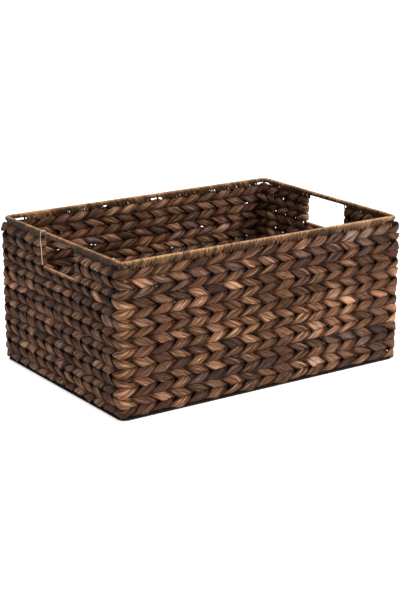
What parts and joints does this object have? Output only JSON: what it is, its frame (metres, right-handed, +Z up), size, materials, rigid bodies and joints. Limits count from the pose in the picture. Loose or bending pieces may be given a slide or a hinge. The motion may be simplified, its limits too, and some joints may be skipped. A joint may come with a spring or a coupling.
{
  "type": "woven storage basket",
  "caption": "Open-topped rectangular storage basket of twined plant fibre on a wire frame, with a wrapped rim and a hand opening in each end wall.",
  "frame": {"origin": "on the floor under the middle of the basket", "axes": "+X along the long walls, +Y towards the back wall, +Z up to the open top"},
  "size_m": [0.4464, 0.3084, 0.2045],
  "materials": {
    "wall_weave": "dark brown twined water hyacinth, dry and fibrous",
    "base_weave": "dark brown twined water hyacinth, dry and fibrous",
    "rim_wrap": "golden brown fibre strip, wound in a fine spiral",
    "binding": "dark brown fibre lashings",
    "frame_wire": "dark lacquered steel wire",
    "thread": "undyed twisted thread"
  },
  "bodies": {
    "root": {"rim_rod": "frame_wire", "foot_rod": "frame_wire", "corner_posts": "frame_wire", "front_stakes": "frame_wire", "back_stakes": "frame_wire", "left_stakes_front": "frame_wire", "left_stakes_back": "frame_wire", "right_stakes_front": "frame_wire", "right_stakes_back": "frame_wire", "left_sill_stakes": "frame_wire", "right_sill_stakes": "frame_wire", "left_sill_rod": "frame_wire", "right_sill_rod": "frame_wire", "cross_rods": "frame_wire", "course_01_front": "wall_weave", "course_01_back": "wall_weave", "course_02_front": "wall_weave", "course_02_back": "wall_weave", "course_03_front": "wall_weave", "course_03_back": "wall_weave", "course_04": "wall_weave", "course_05": "wall_weave", "course_06": "wall_weave", "course_07": "wall_weave", "course_08": "wall_weave", "course_09": "wall_weave", "course_10": "wall_weave", "course_11": "wall_weave", "course_12": "wall_weave", "course_13": "wall_weave", "course_14": "wall_weave", "course_15": "wall_weave", "base_pair_01": "base_weave", "base_pair_02": "base_weave", "base_pair_03": "base_weave", "base_pair_04": "base_weave", "base_pair_05": "base_weave", "base_pair_06": "base_weave", "base_pair_07": "base_weave", "base_pair_08": "base_weave", "base_pair_09": "base_weave", "base_pair_10": "base_weave", "base_pair_11": "base_weave", "rim_wrap_front": "rim_wrap", "rim_wrap_back": "rim_wrap", "rim_wrap_left": "rim_wrap", "rim_wrap_right": "rim_wrap", "left_grip_wrap": "rim_wrap", "right_grip_wrap": "rim_wrap", "left_sill_wrap": "rim_wrap", "right_sill_wrap": "rim_wrap", "lashings_front": "binding", "lashings_back": "binding", "lashings_left": "binding", "lashings_right": "binding", "foot_binding": "binding", "jamb_thread": "thread"}
  },
  "joints": []
}
